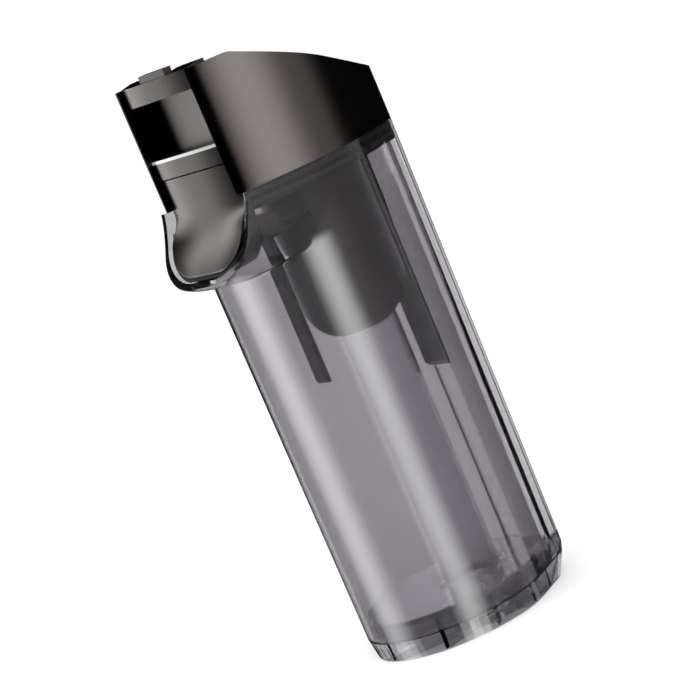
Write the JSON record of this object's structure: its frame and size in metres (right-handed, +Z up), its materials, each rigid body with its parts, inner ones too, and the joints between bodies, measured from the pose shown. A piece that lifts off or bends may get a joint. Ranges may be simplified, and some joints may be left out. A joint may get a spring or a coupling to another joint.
{
  "type": "vacuum dirty water tank",
  "caption": "Clear dirty water tank of an upright wet vacuum, with a pouring spout, a riser tube and a lift-off cap that holds a grip, an air filter, a splash hood and level probes.",
  "frame": {"origin": "centre of the inlet bore on the underside of the base", "axes": "+Z up along the tank, -Y towards the grip and the spout, +X to the right when the grip is seen from in front"},
  "size_m": [0.0814, 0.1033, 0.2605],
  "materials": {
    "clear_tank": "gloss",
    "clear_base": "gloss",
    "clear_tube": "gloss",
    "metallic_shell": "metallic gloss",
    "dark_plastic": "satin",
    "smoky_plastic": "gloss",
    "bright_strip": "gloss",
    "rubber": "matte",
    "steel": "satin",
    "brass": "satin",
    "paper": "matte"
  },
  "bodies": {
    "tank": {"tank_body": "clear_tank", "tank_base": "clear_base", "riser_tube": "clear_tube", "inlet_seal": "rubber"},
    "cap": {"cap_shell": "metallic_shell", "cap_deck": "dark_plastic", "deck_screws": "steel", "filter_gasket": "rubber", "lid_frame": "smoky_plastic", "upper_seal": "rubber", "lower_seal": "rubber", "grip_bar": "metallic_shell", "grip_pocket": "dark_plastic", "grip_sill": "metallic_shell", "sill_strip": "bright_strip", "catch_spring": "steel", "spout_plug": "metallic_shell", "spout_seal": "rubber", "splash_hood": "smoky_plastic", "front_probe": "smoky_plastic", "rear_probe": "smoky_plastic", "front_contact": "steel", "rear_contact": "steel", "rear_terminals": "brass"},
    "filter": {"filter_frame": "dark_plastic", "filter_paper": "paper"},
    "catch": {"catch": "metallic_shell"}
  },
  "joints": [
    {"name": "cap_lift", "type": "slide", "parent": "tank", "child": "cap", "axis": [0, 0, 1], "range_m": [0, 0.12]},
    {"name": "filter_lift", "type": "slide", "parent": "cap", "child": "filter", "axis": [0, 0.3875, 0.9219], "range_m": [0, 0.03]},
    {"name": "catch_press", "type": "slide", "parent": "cap", "child": "catch", "axis": [0, 0, -1], "range_m": [0, 0.0026], "stiffness_N_per_m": 500, "springref_m": -0.002, "deforming": ["catch_spring"]}
  ]
}
